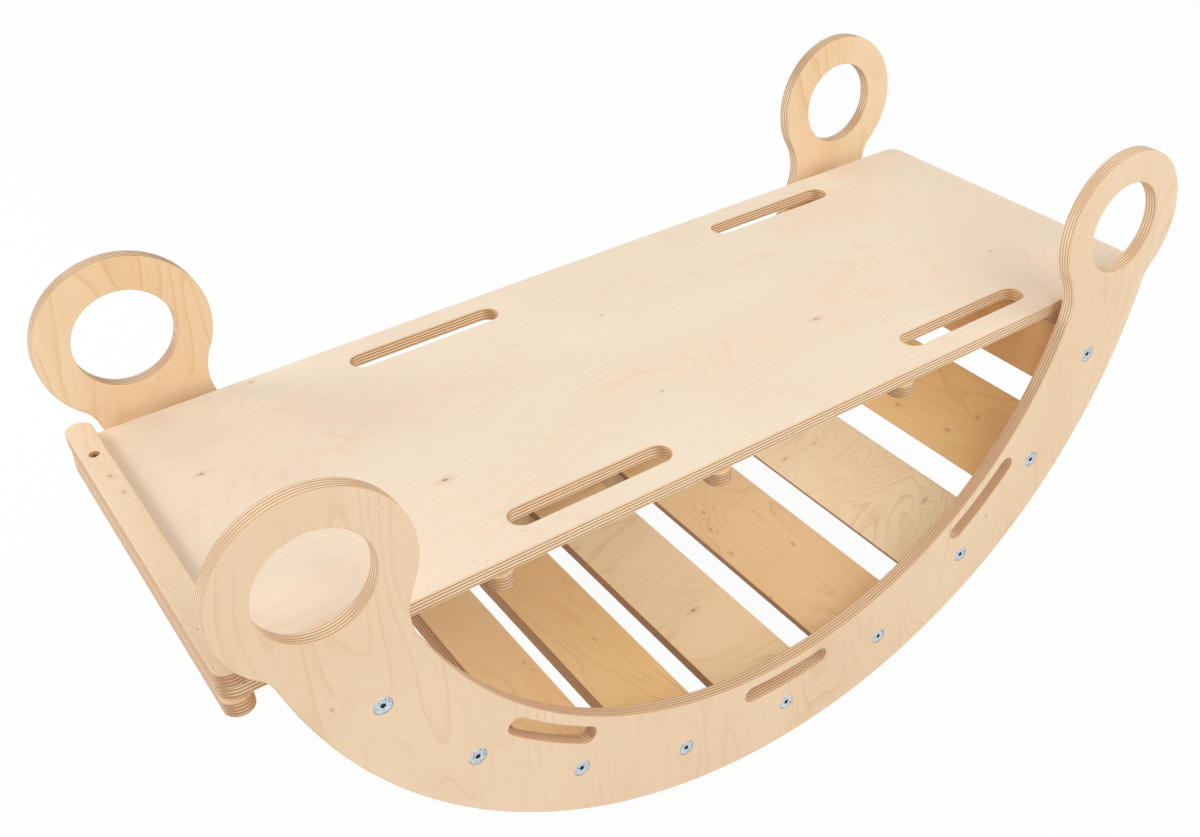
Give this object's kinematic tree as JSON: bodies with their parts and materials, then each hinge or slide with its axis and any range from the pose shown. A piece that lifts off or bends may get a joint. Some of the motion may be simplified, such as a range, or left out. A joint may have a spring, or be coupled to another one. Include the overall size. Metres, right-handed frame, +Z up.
{
  "type": "wooden rocker arch",
  "caption": "Curved wooden rocker for children: slatted arc between two side panels with handle rings, with a loose climbing board laid across the top.",
  "frame": {"origin": "on the floor, under the middle of the rocker arc", "axes": "+X along the board away from its batten end, +Y across the rocker away from the front panel, +Z up"},
  "size_m": [0.8644, 0.374, 0.4387],
  "materials": {
    "panel_plywood": "clear satin lacquer",
    "slat_plywood": "clear satin lacquer",
    "board_plywood": "clear satin lacquer",
    "rung_plywood": "clear satin lacquer",
    "zinc_plated_steel": "bright zinc",
    "dull_screw_steel": "dull zinc",
    "beech_dowel": "bare"
  },
  "bodies": {
    "rocker": {"side_panel_front": "panel_plywood", "side_panel_back": "panel_plywood", "slat_1": "slat_plywood", "slat_2": "slat_plywood", "slat_3": "slat_plywood", "slat_4": "slat_plywood", "slat_5": "slat_plywood", "slat_6": "slat_plywood", "slat_7": "slat_plywood", "slat_8": "slat_plywood", "slat_9": "slat_plywood", "slat_screws_front": "zinc_plated_steel", "slat_screws_back": "zinc_plated_steel", "slat_dowels_front": "beech_dowel", "slat_dowels_back": "beech_dowel"},
    "deck": {"board": "board_plywood", "end_batten": "rung_plywood", "rung_1": "rung_plywood", "rung_2": "rung_plywood", "rung_3": "rung_plywood", "rung_4": "rung_plywood", "rung_5": "rung_plywood", "batten_screws": "dull_screw_steel", "rung_screws": "dull_screw_steel"}
  },
  "joints": [
    {"name": "board_lift", "type": "slide", "parent": "rocker", "child": "deck", "axis": [0, 0, 1], "range_m": [0, 0.17]}
  ]
}
